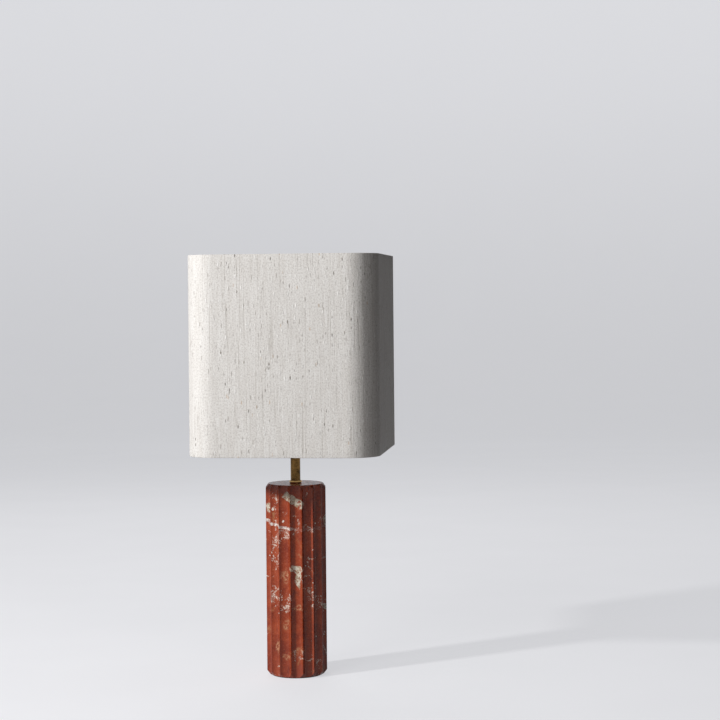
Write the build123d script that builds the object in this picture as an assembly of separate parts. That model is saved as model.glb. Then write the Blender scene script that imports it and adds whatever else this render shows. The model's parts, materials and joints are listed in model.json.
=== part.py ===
from build123d import *
import math
import os

# Column table lamp: a fluted marble column on a felt pad, a brass stem, an E27
# lampholder with a turn switch, a bulb, and a square fabric shade with rounded
# corners on a wire carrier. Millimetres, +Z up. The origin is the centre of the
# foot, on the table. The front of the shade faces -Y and the cord inlet is at the back.

# ---------------------------------------------------------------- driving sizes

# Marble column
column_diameter = 100.0
column_height = 312.0
flute_count = 16
flute_depth = 4.8
arris_width = 0.8
first_flute_turn = 8.7
rim_chamfer_width = 5.0
rim_chamfer_height = 6.5
foot_recess_diameter = 50.0
foot_recess_depth = 24.0

# Felt pad under the foot
felt_thickness = 1.5
felt_edge_inset = 1.5

# Hollow threaded rod that ties the lamp together, and what clamps it
rod_diameter = 10.0
rod_bore = 7.0
rod_hole_clearance = 1.0
rod_tail = 3.0
thread_clearance = 0.05
clamp_washer_diameter = 40.0
clamp_washer_thickness = 3.0
spring_washer_diameter = 18.0
spring_washer_thickness = 2.0
spring_washer_slit = 1.5
nut_across_flats = 17.0
nut_height = 6.0
nut_corner_ease = 1.0

# Cord inlet at the back of the foot
inlet_height = 12.0
inlet_bush_diameter = 9.0
inlet_bush_bore = 6.5
inlet_bush_length = 12.0
inlet_flange_diameter = 13.0
inlet_flange_thickness = 2.0
inlet_seat_depth = 0.5
inlet_clearance = 0.1

# Brass collar and stem
collar_diameter = 20.6
collar_height = 4.6
collar_spigot_height = 3.0
stem_diameter = 16.0
stem_wall = 1.2
stem_length = 53.9
spigot_clearance = 0.05

# Lampholder
holder_wall = 1.2
holder_neck_diameter = 18.0
holder_neck_height = 5.0
holder_boss_height = 10.0
holder_diameter = 41.0
holder_cap_height = 30.0
holder_skirt_height = 6.0
holder_flange_height = 2.0
holder_thread_diameter = 39.0
holder_sleeve_height = 30.0
holder_ledge_width = 1.8
holder_ledge_height = 1.0
core_height = 9.0
core_wire_hole = 5.0
mouth_lip_height = 2.0
screw_shell_wall = 0.6
grub_screw_diameter = 3.0
grub_screw_length = 4.0
assembly_clearance = 0.05

# Contacts and terminals inside the lampholder
contact_width = 6.0
contact_thickness = 0.6
contact_reach = 9.0
contact_rise = 3.0
side_contact_height = 5.0
terminal_spacing = 20.0
terminal_screw_diameter = 3.0
terminal_head_diameter = 5.0
terminal_head_height = 2.0
terminal_depth = 5.0

# Turn switch in the side of the lampholder
switch_block_width = 16.0
switch_block_depth = 20.0
switch_block_height = 11.0
switch_axis_drop = 5.5
switch_spindle_diameter = 4.0
switch_running_clearance = 0.05
switch_hole_clearance = 0.4
switch_spindle_reach = 33.0
switch_knob_diameter = 11.0
switch_knob_length = 13.0
switch_knob_start = 22.0
switch_knob_grooves = 12
switch_knob_groove_diameter = 1.6
switch_knob_edge = 0.9
switch_direction = -45.0

# Shade rings that clamp the carrier on the lampholder's outer thread
shade_ring_diameter = 52.0
shade_ring_web = 1.6
shade_ring_hub_width = 2.8
shade_ring_height = 4.5
shade_ring_notches = 8
shade_ring_notch_diameter = 3.0
shade_ring_thread_clearance = 0.1
lower_ring_lift = 2.0
clamp_gap = 0.3

# Shade and its wire carrier
shade_side = 307.0
shade_corner_radius = 48.0
shade_height = 320.0
fabric_thickness = 0.8
liner_thickness = 0.8
layer_gap = 0.05
frame_wire_diameter = 3.0
turn_in_tuck = 1.2
carrier_thickness = 2.0
carrier_hole_clearance = 0.4
carrier_diameter = 60.0
carrier_arm_count = 4
carrier_arm_diameter = 4.0
carrier_arm_overlap = 2.5
carrier_arm_run_in = 14.0
carrier_arm_bend_radius = 8.0
weld_gap = 0.05
arm_notch_clearance = 0.6
shade_drop = 43.0

# Bulb
bulb_diameter = 60.0
bulb_flare_radius = 55.0
bulb_glass_wall = 1.0
bulb_neck_length = 4.0
bulb_cap_diameter = 26.2
bulb_cap_wall = 0.5
bulb_cap_height = 22.0
bulb_cap_cone_height = 3.0
bulb_cap_mouth_diameter = 13.0
bulb_insulator_height = 3.5
bulb_tip_diameter = 8.0
bulb_tip_height = 1.5
bulb_thread_clearance = 0.3
bulb_seat_gap = 0.3
bulb_stem_diameter = 7.0
bulb_stem_height = 32.0
bulb_stem_flare_height = 3.0
filament_count = 4
filament_diameter = 2.0
filament_length = 34.0
filament_circle_diameter = 10.0

# ------------------------------------------------- heights and radii worked out

column_radius = column_diameter / 2
column_foot = felt_thickness
column_top = column_foot + column_height

flute_pitch = 360 / flute_count
flute_half_angle = math.radians(flute_pitch / 2) - math.asin(arris_width / column_diameter)
flute_half_chord = column_radius * math.sin(flute_half_angle)
flute_chord_distance = column_radius * math.cos(flute_half_angle)
flute_radius = (flute_half_chord ** 2 + flute_depth ** 2) / (2 * flute_depth)
flute_floor_radius = flute_chord_distance - flute_depth
flute_centre_radius = flute_floor_radius + flute_radius

# The cord leaves by the flute nearest the back.
back_flute = round(180 / flute_pitch)
inlet_turn = first_flute_turn + back_flute * flute_pitch - 180
inlet_level = column_foot + inlet_height
inlet_seat_radius = flute_floor_radius - inlet_seat_depth

recess_ceiling = column_foot + foot_recess_depth
clamp_washer_foot = recess_ceiling - clamp_washer_thickness
spring_washer_foot = clamp_washer_foot - spring_washer_thickness
nut_foot = spring_washer_foot - nut_height
rod_foot = nut_foot - rod_tail

rod_radius = rod_diameter / 2
rod_hole_radius = rod_radius + rod_hole_clearance
rod_thread_hole_radius = rod_radius + thread_clearance

collar_top = column_top + collar_height
stem_foot = collar_top
stem_top = stem_foot + stem_length
stem_inner_radius = stem_diameter / 2 - stem_wall
collar_spigot_radius = stem_inner_radius - spigot_clearance

holder_radius = holder_diameter / 2
holder_inner_radius = holder_radius - holder_wall
holder_neck_radius = holder_neck_diameter / 2
cap_foot = stem_top
cap_rim = cap_foot + holder_cap_height
rod_top = cap_foot + holder_boss_height - thread_clearance
bowl_foot = cap_foot + holder_neck_height
bowl_radius = holder_radius - holder_neck_radius

skirt_radius = holder_inner_radius - assembly_clearance
skirt_foot = cap_rim - holder_skirt_height
sleeve_thread_radius = holder_thread_diameter / 2
sleeve_inner_radius = sleeve_thread_radius - holder_wall
flange_top = cap_rim + holder_flange_height
sleeve_top = cap_rim + holder_sleeve_height

core_radius = sleeve_inner_radius - assembly_clearance
core_foot = skirt_foot + holder_ledge_height
core_top = core_foot + core_height

bulb_cap_radius = bulb_cap_diameter / 2
shell_inner_radius = bulb_cap_radius + bulb_thread_clearance
shell_outer_radius = shell_inner_radius + screw_shell_wall
shell_top = sleeve_top - mouth_lip_height
mouth_top = sleeve_top + mouth_lip_height

contact_top = core_top + contact_rise
bulb_foot = contact_top + bulb_seat_gap
bulb_insulator_foot = bulb_foot + bulb_tip_height
bulb_cap_foot = bulb_insulator_foot + bulb_insulator_height
bulb_cap_top = bulb_cap_foot + bulb_cap_height
bulb_neck_radius = bulb_cap_radius - bulb_cap_wall - assembly_clearance
bulb_neck_foot = bulb_cap_foot + bulb_cap_height / 2
bulb_flare_level = bulb_cap_top + bulb_neck_length
bulb_radius = bulb_diameter / 2

switch_level = core_foot - switch_axis_drop
spindle_radius = switch_spindle_diameter / 2
knob_radius = switch_knob_diameter / 2

lower_ring_foot = flange_top + lower_ring_lift
carrier_foot = lower_ring_foot + shade_ring_height
carrier_top = carrier_foot + carrier_thickness
upper_ring_foot = carrier_top + clamp_gap
carrier_hole_radius = sleeve_thread_radius + carrier_hole_clearance
carrier_radius = carrier_diameter / 2
carrier_arm_level = carrier_top - carrier_arm_diameter / 2

shade_foot = carrier_foot - shade_drop
shade_top = shade_foot + shade_height
liner_inset = fabric_thickness + layer_gap
wire_inset = liner_inset + liner_thickness + layer_gap
wire_line_inset = wire_inset + frame_wire_diameter / 2
turn_in_inset = wire_inset + frame_wire_diameter + layer_gap
bottom_wire_level = shade_foot + fabric_thickness + layer_gap + frame_wire_diameter / 2
top_wire_level = shade_top - fabric_thickness - layer_gap - frame_wire_diameter / 2
turn_in_height = fabric_thickness + layer_gap + frame_wire_diameter + turn_in_tuck


# ------------------------------------------------------------ building helpers


def upright(radius, low, high):
    """Round bar on the lamp's axis between two levels."""
    bar = Cylinder(radius, high - low, align=(Align.CENTER, Align.CENTER, Align.MIN))
    return Pos(0, 0, low) * bar


def tube(outer_radius, inner_radius, low, high):
    """Round tube on the lamp's axis between two levels."""
    return upright(outer_radius, low, high) - upright(inner_radius, low, high)


def outward(radius, start, end, level, turn):
    """Round bar that runs outward from the axis, turned from the back (+Y)."""
    bar = Cylinder(radius, end - start, align=(Align.CENTER, Align.CENTER, Align.MIN))
    return Rot(0, 0, turn) * Pos(0, start, level) * Rot(-90, 0, 0) * bar


def arc_about(centre, start, end):
    """Shorter arc about a centre, from one point to the other."""
    middle_point = Vector(*centre)
    to_start = Vector(*start) - middle_point
    to_end = Vector(*end) - middle_point
    middle = middle_point + (to_start + to_end).normalized() * to_start.length
    return ThreePointArc(start, middle, end)


def turned(edges):
    """Solid of revolution about the lamp's axis from edges drawn as radius and level."""
    return revolve(Plane.XZ * make_face(edges), Axis.Z)


def shade_plan(inset):
    """Rounded square of the shade, drawn in evenly from its outer face."""
    side = shade_side - 2 * inset
    return RectangleRounded(side, side, shade_corner_radius - inset)


def shade_band(outer_inset, inner_inset, low, high):
    """Upright band that follows the shade's plan between two insets and levels."""
    section = shade_plan(outer_inset) - shade_plan(inner_inset)
    return Pos(0, 0, low) * extrude(section, high - low)


# ----------------------------------------------------------------- the column


def marble_column():
    """Column of concave flutes that meet at narrow arrises and run out through both rims."""
    flutes = Sketch()
    for number in range(flute_count):
        turn = first_flute_turn + number * flute_pitch
        flutes += Rot(0, 0, turn) * Pos(0, -flute_centre_radius) * Circle(flute_radius)
    shaft = Pos(0, 0, column_foot) * extrude(Circle(column_radius) - flutes, column_height)

    face_radius = column_radius - rim_chamfer_width
    outline = Polyline(
        (0, column_foot),
        (face_radius, column_foot),
        (column_radius, column_foot + rim_chamfer_height),
        (column_radius, column_top - rim_chamfer_height),
        (face_radius, column_top),
        (0, column_top),
        close=True,
    )
    shaft &= turned(outline)

    shaft -= upright(rod_hole_radius, column_foot, column_top)
    shaft -= upright(foot_recess_diameter / 2, column_foot, recess_ceiling)
    bush_hole_radius = inlet_bush_diameter / 2 + inlet_clearance
    flange_seat_radius = inlet_flange_diameter / 2 + inlet_clearance
    shaft -= outward(bush_hole_radius, 0, column_radius, inlet_level, inlet_turn)
    shaft -= outward(flange_seat_radius, inlet_seat_radius, column_radius, inlet_level, inlet_turn)
    return shaft


def felt_pad():
    """Felt disc glued under the foot, inside the floors of the flutes."""
    return upright(flute_floor_radius - felt_edge_inset, 0, felt_thickness)


def cord_bush():
    """Flanged bush for the cord, pushed into the back of the foot."""
    bush_foot = inlet_seat_radius - inlet_bush_length
    flange_face = inlet_seat_radius + inlet_flange_thickness
    bush = outward(inlet_bush_diameter / 2, bush_foot, flange_face, inlet_level, inlet_turn)
    bush += outward(
        inlet_flange_diameter / 2, inlet_seat_radius, flange_face, inlet_level, inlet_turn
    )
    return bush - outward(inlet_bush_bore / 2, bush_foot, flange_face, inlet_level, inlet_turn)


# ----------------------------------------------------- rod, nut, washers, stem


def threaded_rod():
    """Hollow rod from the foot recess to the lampholder, which the cord runs through."""
    return tube(rod_radius, rod_bore / 2, rod_foot, rod_top)


def clamp_washer():
    """Wide steel washer against the ceiling of the foot recess."""
    return tube(
        clamp_washer_diameter / 2, rod_thread_hole_radius, clamp_washer_foot, recess_ceiling
    )


def spring_washer():
    """Split washer between the nut and the clamp washer."""
    outer_radius = spring_washer_diameter / 2
    washer = tube(outer_radius, rod_thread_hole_radius, spring_washer_foot, clamp_washer_foot)
    slit = Box(outer_radius, spring_washer_slit, spring_washer_thickness)
    middle_level = (spring_washer_foot + clamp_washer_foot) / 2
    return washer - Pos(outer_radius / 2 + rod_radius / 2, 0, middle_level) * slit


def rod_nut():
    """Hexagon nut with eased corners that pulls the rod tight."""
    hexagon = RegularPolygon(nut_across_flats / 2, 6, major_radius=False)
    nut = Pos(0, 0, nut_foot) * extrude(hexagon, nut_height)
    corner_radius = nut_across_flats / math.sqrt(3)
    outline = Polyline(
        (0, nut_foot),
        (corner_radius - nut_corner_ease, nut_foot),
        (corner_radius, nut_foot + nut_corner_ease / 2),
        (corner_radius, spring_washer_foot - nut_corner_ease / 2),
        (corner_radius - nut_corner_ease, spring_washer_foot),
        (0, spring_washer_foot),
        close=True,
    )
    nut &= turned(outline)
    return nut - upright(rod_thread_hole_radius, nut_foot, spring_washer_foot)


def stem_collar():
    """Turned brass bead on top of the column, with a spigot that centres the stem."""
    bead_radius = collar_diameter / 2
    round_radius = collar_height / 2
    waist = bead_radius - round_radius
    middle_level = column_top + round_radius
    profile = Polyline((waist, collar_top), (0, collar_top), (0, column_top), (waist, column_top))
    edge = ThreePointArc((waist, column_top), (bead_radius, middle_level), (waist, collar_top))
    collar = turned(Curve() + [profile, edge])
    collar += upright(collar_spigot_radius, collar_top, collar_top + collar_spigot_height)
    return collar - upright(
        rod_thread_hole_radius, column_top, collar_top + collar_spigot_height
    )


def stem_tube():
    """Brass tube that stands on the collar and carries the lampholder."""
    return tube(stem_diameter / 2, stem_inner_radius, stem_foot, stem_top)


# ---------------------------------------------------------------- lampholder


def holder_cap():
    """Spun brass cup: a neck, a quarter-round bowl and a straight wall."""
    bowl_level = bowl_foot + bowl_radius
    boss_top = cap_foot + holder_boss_height
    outer_bowl = arc_about(
        (holder_neck_radius, bowl_level), (holder_neck_radius, bowl_foot), (holder_radius, bowl_level)
    )
    inner_bowl = arc_about(
        (holder_neck_radius, bowl_level),
        (holder_inner_radius, bowl_level),
        (holder_neck_radius, bowl_foot + holder_wall),
    )
    outside = Polyline((0, cap_foot), (holder_neck_radius, cap_foot), (holder_neck_radius, bowl_foot))
    rim = Polyline(
        (holder_radius, bowl_level),
        (holder_radius, cap_rim),
        (holder_inner_radius, cap_rim),
        (holder_inner_radius, bowl_level),
    )
    boss = Polyline(
        (holder_neck_radius, bowl_foot + holder_wall),
        (holder_neck_radius, boss_top),
        (0, boss_top),
        (0, cap_foot),
    )
    cup = turned(Curve() + [outside, outer_bowl, rim, inner_bowl, boss])
    cup -= upright(rod_thread_hole_radius, cap_foot, boss_top)
    cup -= outward(
        spindle_radius + switch_hole_clearance, 0, holder_radius * 2, switch_level, switch_direction
    )
    screw_level = cap_foot + holder_neck_height / 2
    screw_hole_radius = grub_screw_diameter / 2 + thread_clearance
    return cup - outward(screw_hole_radius, 0, holder_neck_radius * 2, screw_level, 0)


def cap_grub_screw():
    """Screw in the neck that locks the lampholder on the rod."""
    start = rod_thread_hole_radius
    level = cap_foot + holder_neck_height / 2
    screw = outward(grub_screw_diameter / 2, start, start + grub_screw_length, level, 0)
    slot_depth = grub_screw_length / 4
    slot = Box(grub_screw_diameter, slot_depth, grub_screw_diameter / 4)
    return screw - Pos(0, start + grub_screw_length - slot_depth / 2, level) * slot


def holder_sleeve():
    """Brass sleeve with an outer thread, a flange on the cap's rim and a ledge for the core."""
    ledge_radius = sleeve_inner_radius - holder_ledge_width
    sleeve = tube(skirt_radius, sleeve_inner_radius, skirt_foot, cap_rim)
    sleeve += tube(skirt_radius, ledge_radius, skirt_foot, core_foot)
    sleeve += tube(holder_radius, sleeve_inner_radius, cap_rim, flange_top)
    sleeve += tube(sleeve_thread_radius, sleeve_inner_radius, flange_top, sleeve_top)
    return sleeve


def terminal_places():
    """Centres of the two terminals, either side of the switch."""
    turn = Rot(0, 0, switch_direction)
    return [turn * Pos(side * terminal_spacing / 2, 0, core_foot) for side in (-1, 1)]


def holder_core():
    """Porcelain disc that carries the contacts and terminals."""
    core = upright(core_radius, core_foot, core_top)
    head_radius = terminal_head_diameter / 2 + assembly_clearance
    shank_radius = terminal_screw_diameter / 2 + assembly_clearance
    pocket_depth = terminal_head_height + assembly_clearance
    pocket = Cylinder(head_radius, pocket_depth, align=(Align.CENTER, Align.CENTER, Align.MIN))
    shank = Cylinder(shank_radius, terminal_depth, align=(Align.CENTER, Align.CENTER, Align.MIN))
    for place in terminal_places():
        core -= place * pocket
        core -= place * Pos(0, 0, pocket_depth) * shank
    wire_hole = Cylinder(core_wire_hole / 2, core_height * 2)
    wire_circle = core_radius - core_wire_hole
    for turn in (switch_direction, switch_direction + 180):
        core -= Rot(0, 0, turn) * Pos(0, wire_circle, core_foot + core_height / 2) * wire_hole
    return core


def terminal_screws():
    """Two screws up into the porcelain, with slotted heads."""
    screws = []
    for place in terminal_places():
        head = Cylinder(
            terminal_head_diameter / 2,
            terminal_head_height,
            align=(Align.CENTER, Align.CENTER, Align.MIN),
        )
        shank = Pos(0, 0, terminal_head_height) * Cylinder(
            terminal_screw_diameter / 2,
            terminal_depth - assembly_clearance,
            align=(Align.CENTER, Align.CENTER, Align.MIN),
        )
        slot = Box(terminal_head_diameter, terminal_head_height / 3, terminal_head_height)
        screws.append(place * (head + shank - slot))
    return Compound(children=screws)


def centre_contact():
    """Sprung brass tongue, fixed at one side and raised in the middle under the bulb."""
    foot = Polyline(
        (contact_reach, core_top),
        (contact_reach - contact_width / 2, core_top),
        (contact_width / 2, contact_top - contact_thickness),
        (-contact_width / 2, contact_top - contact_thickness),
        (-contact_width / 2, contact_top),
        (contact_width / 2, contact_top),
        (contact_reach - contact_width / 2, core_top + contact_thickness),
        (contact_reach, core_top + contact_thickness),
        close=True,
    )
    tongue = extrude(Plane.XZ * make_face(foot), contact_width / 2, both=True)
    return Rot(0, 0, switch_direction) * tongue


def side_contact():
    """Brass tab that stands on the core, its edges against the inside of the screw shell."""
    edge_radius = shell_inner_radius - assembly_clearance
    start = math.sqrt(edge_radius ** 2 - (contact_width / 2) ** 2)
    tab = Box(
        contact_thickness,
        contact_width,
        side_contact_height,
        align=(Align.MAX, Align.CENTER, Align.MIN),
    )
    return Rot(0, 0, switch_direction + 180) * Pos(start, 0, core_top) * tab


def screw_shell():
    """Brass shell that the bulb screws into."""
    return tube(shell_outer_radius, shell_inner_radius, core_top, shell_top)


def holder_insulator():
    """Porcelain ring between the screw shell and the sleeve, with a lip at the mouth."""
    bore_radius = shell_outer_radius + assembly_clearance
    ring = tube(core_radius, bore_radius, core_top, sleeve_top)
    return ring + tube(sleeve_thread_radius, bore_radius, sleeve_top, mouth_top)


def threaded_shade_ring(web_foot, hub_foot, hub_top):
    """Ring nut on the sleeve: a hub, a flat web and notches round the web for the fingers."""
    bore_radius = sleeve_thread_radius + shade_ring_thread_clearance
    rim_radius = shade_ring_diameter / 2
    ring = tube(rim_radius, bore_radius, web_foot, web_foot + shade_ring_web)
    ring += tube(bore_radius + shade_ring_hub_width, bore_radius, hub_foot, hub_top)
    for number in range(shade_ring_notches):
        turn = Rot(0, 0, number * 360 / shade_ring_notches)
        notch = upright(shade_ring_notch_diameter / 2, hub_foot, hub_top)
        ring -= turn * Pos(rim_radius + shade_ring_notch_diameter / 4, 0, 0) * notch
    return ring


def lower_shade_ring():
    """Ring nut that sets the shade's height, web upward under the carrier."""
    return threaded_shade_ring(carrier_foot - shade_ring_web, lower_ring_foot, carrier_foot)


def upper_shade_ring():
    """Ring nut that clamps the carrier from above, web downward."""
    top = upper_ring_foot + shade_ring_height
    return threaded_shade_ring(upper_ring_foot, upper_ring_foot, top)


# -------------------------------------------------------------------- switch


def switch_block():
    """Moulded switch under the porcelain core, bored for its spindle."""
    block = Box(
        switch_block_width,
        switch_block_depth,
        switch_block_height,
        align=(Align.CENTER, Align.CENTER, Align.MAX),
    )
    block = Rot(0, 0, switch_direction) * Pos(0, 0, core_foot) * block
    bore_radius = spindle_radius + switch_running_clearance
    return block - outward(bore_radius, 0, switch_block_depth, switch_level, switch_direction)


def switch_spindle():
    """Brass spindle from the switch block out through the cap's wall."""
    start = switch_running_clearance
    return outward(spindle_radius, start, switch_spindle_reach, switch_level, switch_direction)


def switch_knob():
    """Grooved knob on the spindle, turned between finger and thumb."""
    end = switch_knob_start + switch_knob_length
    blank = Cylinder(knob_radius, switch_knob_length, align=(Align.CENTER, Align.CENTER, Align.MIN))
    blank = chamfer(blank.edges().filter_by(GeomType.CIRCLE), switch_knob_edge)
    groove = Cylinder(
        switch_knob_groove_diameter / 2,
        switch_knob_length,
        align=(Align.CENTER, Align.CENTER, Align.MIN),
    )
    for number in range(switch_knob_grooves):
        blank -= Rot(0, 0, number * 360 / switch_knob_grooves) * Pos(knob_radius, 0, 0) * groove
    knob = Pos(0, switch_knob_start, switch_level) * Rot(-90, 0, 0) * blank
    knob = Rot(0, 0, switch_direction) * knob
    bore_end = min(switch_spindle_reach + switch_running_clearance, end - switch_knob_edge)
    bore_radius = spindle_radius + switch_running_clearance
    return knob - outward(bore_radius, 0, bore_end, switch_level, switch_direction)


# ---------------------------------------------------------------------- bulb


def bulb_outline(wall):
    """Centre of the globe, and the points where neck, flare and globe meet, inside a wall."""
    flare_reach = bulb_neck_radius + bulb_flare_radius
    centre_gap = bulb_radius + bulb_flare_radius
    rise = math.sqrt(centre_gap ** 2 - flare_reach ** 2)
    globe_level = bulb_flare_level + rise
    globe_radius = bulb_radius - wall
    flare_end = (
        globe_radius * flare_reach / centre_gap,
        globe_level - globe_radius * rise / centre_gap,
    )
    return globe_level, globe_radius, (flare_reach, bulb_flare_level), flare_end


def bulb_glass():
    """Pear-shaped opal envelope, open at the neck inside the cap."""
    globe_level, outer_radius, flare_centre, outer_end = bulb_outline(0)
    inner_radius = bulb_outline(bulb_glass_wall)[1]
    inner_end = bulb_outline(bulb_glass_wall)[3]
    neck_inner_radius = bulb_neck_radius - bulb_glass_wall
    outer_start = (bulb_neck_radius, bulb_flare_level)
    inner_start = (neck_inner_radius, bulb_flare_level)
    outer_crown = (0, globe_level + outer_radius)
    inner_crown = (0, globe_level + inner_radius)
    edges = [
        Line((bulb_neck_radius, bulb_neck_foot), outer_start),
        arc_about(flare_centre, outer_start, outer_end),
        arc_about((0, globe_level), outer_end, outer_crown),
        Line(outer_crown, inner_crown),
        arc_about((0, globe_level), inner_end, inner_crown),
        arc_about(flare_centre, inner_start, inner_end),
        Line(inner_start, (neck_inner_radius, bulb_neck_foot)),
        Line((neck_inner_radius, bulb_neck_foot), (bulb_neck_radius, bulb_neck_foot)),
    ]
    return turned(Curve() + edges)


def bulb_cap():
    """Metal screw cap, drawn in to a cone at the bottom."""
    mouth_radius = bulb_cap_mouth_diameter / 2
    inner_radius = bulb_cap_radius - bulb_cap_wall
    cone_top = bulb_cap_foot + bulb_cap_cone_height
    outline = Polyline(
        (mouth_radius, bulb_cap_foot),
        (bulb_cap_radius, cone_top),
        (bulb_cap_radius, bulb_cap_top),
        (inner_radius, bulb_cap_top),
        (inner_radius, cone_top + bulb_cap_wall),
        (mouth_radius, bulb_cap_foot + bulb_cap_wall),
        close=True,
    )
    return turned(outline)


def bulb_insulator():
    """Dark glass cone that keeps the tip apart from the cap, and plugs the cap's mouth."""
    tip_radius = bulb_tip_diameter / 2
    mouth_radius = bulb_cap_mouth_diameter / 2
    plug_radius = mouth_radius - assembly_clearance
    outline = Polyline(
        (0, bulb_insulator_foot),
        (tip_radius, bulb_insulator_foot),
        (mouth_radius, bulb_cap_foot),
        (plug_radius, bulb_cap_foot),
        (plug_radius, bulb_cap_foot + bulb_cap_wall),
        (0, bulb_cap_foot + bulb_cap_wall),
        close=True,
    )
    return turned(outline)


def bulb_tip():
    """Soldered contact button under the cap."""
    tip_radius = bulb_tip_diameter / 2
    button = upright(tip_radius, bulb_foot, bulb_insulator_foot)
    edge = button.edges().filter_by(GeomType.CIRCLE).sort_by(Axis.Z)[0]
    return chamfer(edge, bulb_tip_height / 2)


def bulb_stem():
    """Glass stem that closes the neck and carries the filaments."""
    flare_radius = bulb_neck_radius - bulb_glass_wall - assembly_clearance
    flare_top = bulb_neck_foot + bulb_stem_flare_height
    stem_radius = bulb_stem_diameter / 2
    cone_top = flare_top + flare_radius - stem_radius
    outline = Polyline(
        (0, bulb_neck_foot),
        (flare_radius, bulb_neck_foot),
        (flare_radius, flare_top),
        (stem_radius, cone_top),
        (stem_radius, cone_top + bulb_stem_height),
        (0, cone_top + bulb_stem_height),
        close=True,
    )
    return turned(outline)


def bulb_filaments():
    """Straight light-giving filaments that stand round the top of the stem."""
    flare_radius = bulb_neck_radius - bulb_glass_wall - assembly_clearance
    stem_radius = bulb_stem_diameter / 2
    cone_top = bulb_neck_foot + bulb_stem_flare_height + flare_radius - stem_radius
    foot = cone_top + bulb_stem_height / 2
    reach = max(filament_circle_diameter / 2, stem_radius + filament_diameter / 2 + layer_gap)
    rods = []
    for number in range(filament_count):
        turn = Rot(0, 0, number * 360 / filament_count)
        rods.append(
            turn * Pos(reach, 0, 0) * upright(filament_diameter / 2, foot, foot + filament_length)
        )
    return Compound(children=rods)


# --------------------------------------------------------------------- shade


def frame_wire(level):
    """Round wire bent to the shade's plan, inside the lining."""
    path = Pos(0, 0, level) * shade_plan(wire_line_inset).wire()
    section = Plane(origin=path @ 0, z_dir=path % 0) * Circle(frame_wire_diameter / 2)
    return sweep(section, path=path)


def shade_top_frame():
    """Wire inside the rolled top edge."""
    return frame_wire(top_wire_level)


def shade_bottom_frame():
    """Wire inside the rolled bottom edge."""
    return frame_wire(bottom_wire_level)


def shade_carrier():
    """Flat ring on the lampholder, with bent arms that butt against the bottom wire."""
    carrier = tube(carrier_radius, carrier_hole_radius, carrier_foot, carrier_top)
    start = Vector(carrier_radius - carrier_arm_overlap, 0, carrier_arm_level)
    bend = start + Vector(carrier_arm_run_in, 0, 0)
    wire_centre = Vector(shade_side / 2 - wire_line_inset, 0, bottom_wire_level)
    slope = (wire_centre - bend).normalized()
    end = wire_centre - slope * (frame_wire_diameter / 2 + weld_gap)
    route = FilletPolyline(start, bend, end, radius=carrier_arm_bend_radius)
    section = Plane(origin=route @ 0, z_dir=route % 0) * Circle(carrier_arm_diameter / 2)
    arm = sweep(section, path=route)
    for number in range(carrier_arm_count):
        carrier += Rot(0, 0, number * 360 / carrier_arm_count) * arm
    return carrier


def shade_liner():
    """Stiff translucent lining that the fabric is laminated to."""
    low = shade_foot + fabric_thickness + layer_gap
    high = shade_top - fabric_thickness - layer_gap
    return shade_band(liner_inset, liner_inset + liner_thickness, low, high)


def shade_fabric():
    """Fabric skin, rolled over both wires, tucked in behind them and snipped round the arms."""
    skin = shade_band(0, fabric_thickness, shade_foot, shade_top)
    inner = turn_in_inset + fabric_thickness
    for low, high, edge_low in (
        (shade_foot, shade_foot + turn_in_height, shade_foot),
        (shade_top - turn_in_height, shade_top, shade_top - fabric_thickness),
    ):
        skin += shade_band(turn_in_inset, inner, low, high)
        skin += shade_band(0, inner, edge_low, edge_low + fabric_thickness)
    snip = Box(
        fabric_thickness * 3,
        carrier_arm_diameter + 2 * arm_notch_clearance,
        turn_in_height,
        align=(Align.CENTER, Align.CENTER, Align.MIN),
    )
    snip_place = shade_side / 2 - turn_in_inset - fabric_thickness
    for number in range(carrier_arm_count):
        turn = Rot(0, 0, number * 360 / carrier_arm_count)
        skin -= turn * Pos(snip_place, 0, shade_foot + fabric_thickness) * snip
    return skin


# -------------------------------------------------------------------- export

PIECES = (
    marble_column,
    felt_pad,
    cord_bush,
    threaded_rod,
    clamp_washer,
    spring_washer,
    rod_nut,
    stem_collar,
    stem_tube,
    holder_cap,
    cap_grub_screw,
    holder_sleeve,
    holder_core,
    terminal_screws,
    centre_contact,
    side_contact,
    screw_shell,
    holder_insulator,
    lower_shade_ring,
    upper_shade_ring,
    switch_block,
    switch_spindle,
    switch_knob,
    bulb_glass,
    bulb_cap,
    bulb_insulator,
    bulb_tip,
    bulb_stem,
    bulb_filaments,
    shade_top_frame,
    shade_bottom_frame,
    shade_carrier,
    shade_liner,
    shade_fabric,
)

os.makedirs("parts", exist_ok=True)
for piece in PIECES:
    export_step(piece(), f"parts/{piece.__name__}.step")
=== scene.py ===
import json
import math

import bmesh
import bpy
import numpy as np
from mathutils import Matrix, Vector

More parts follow.
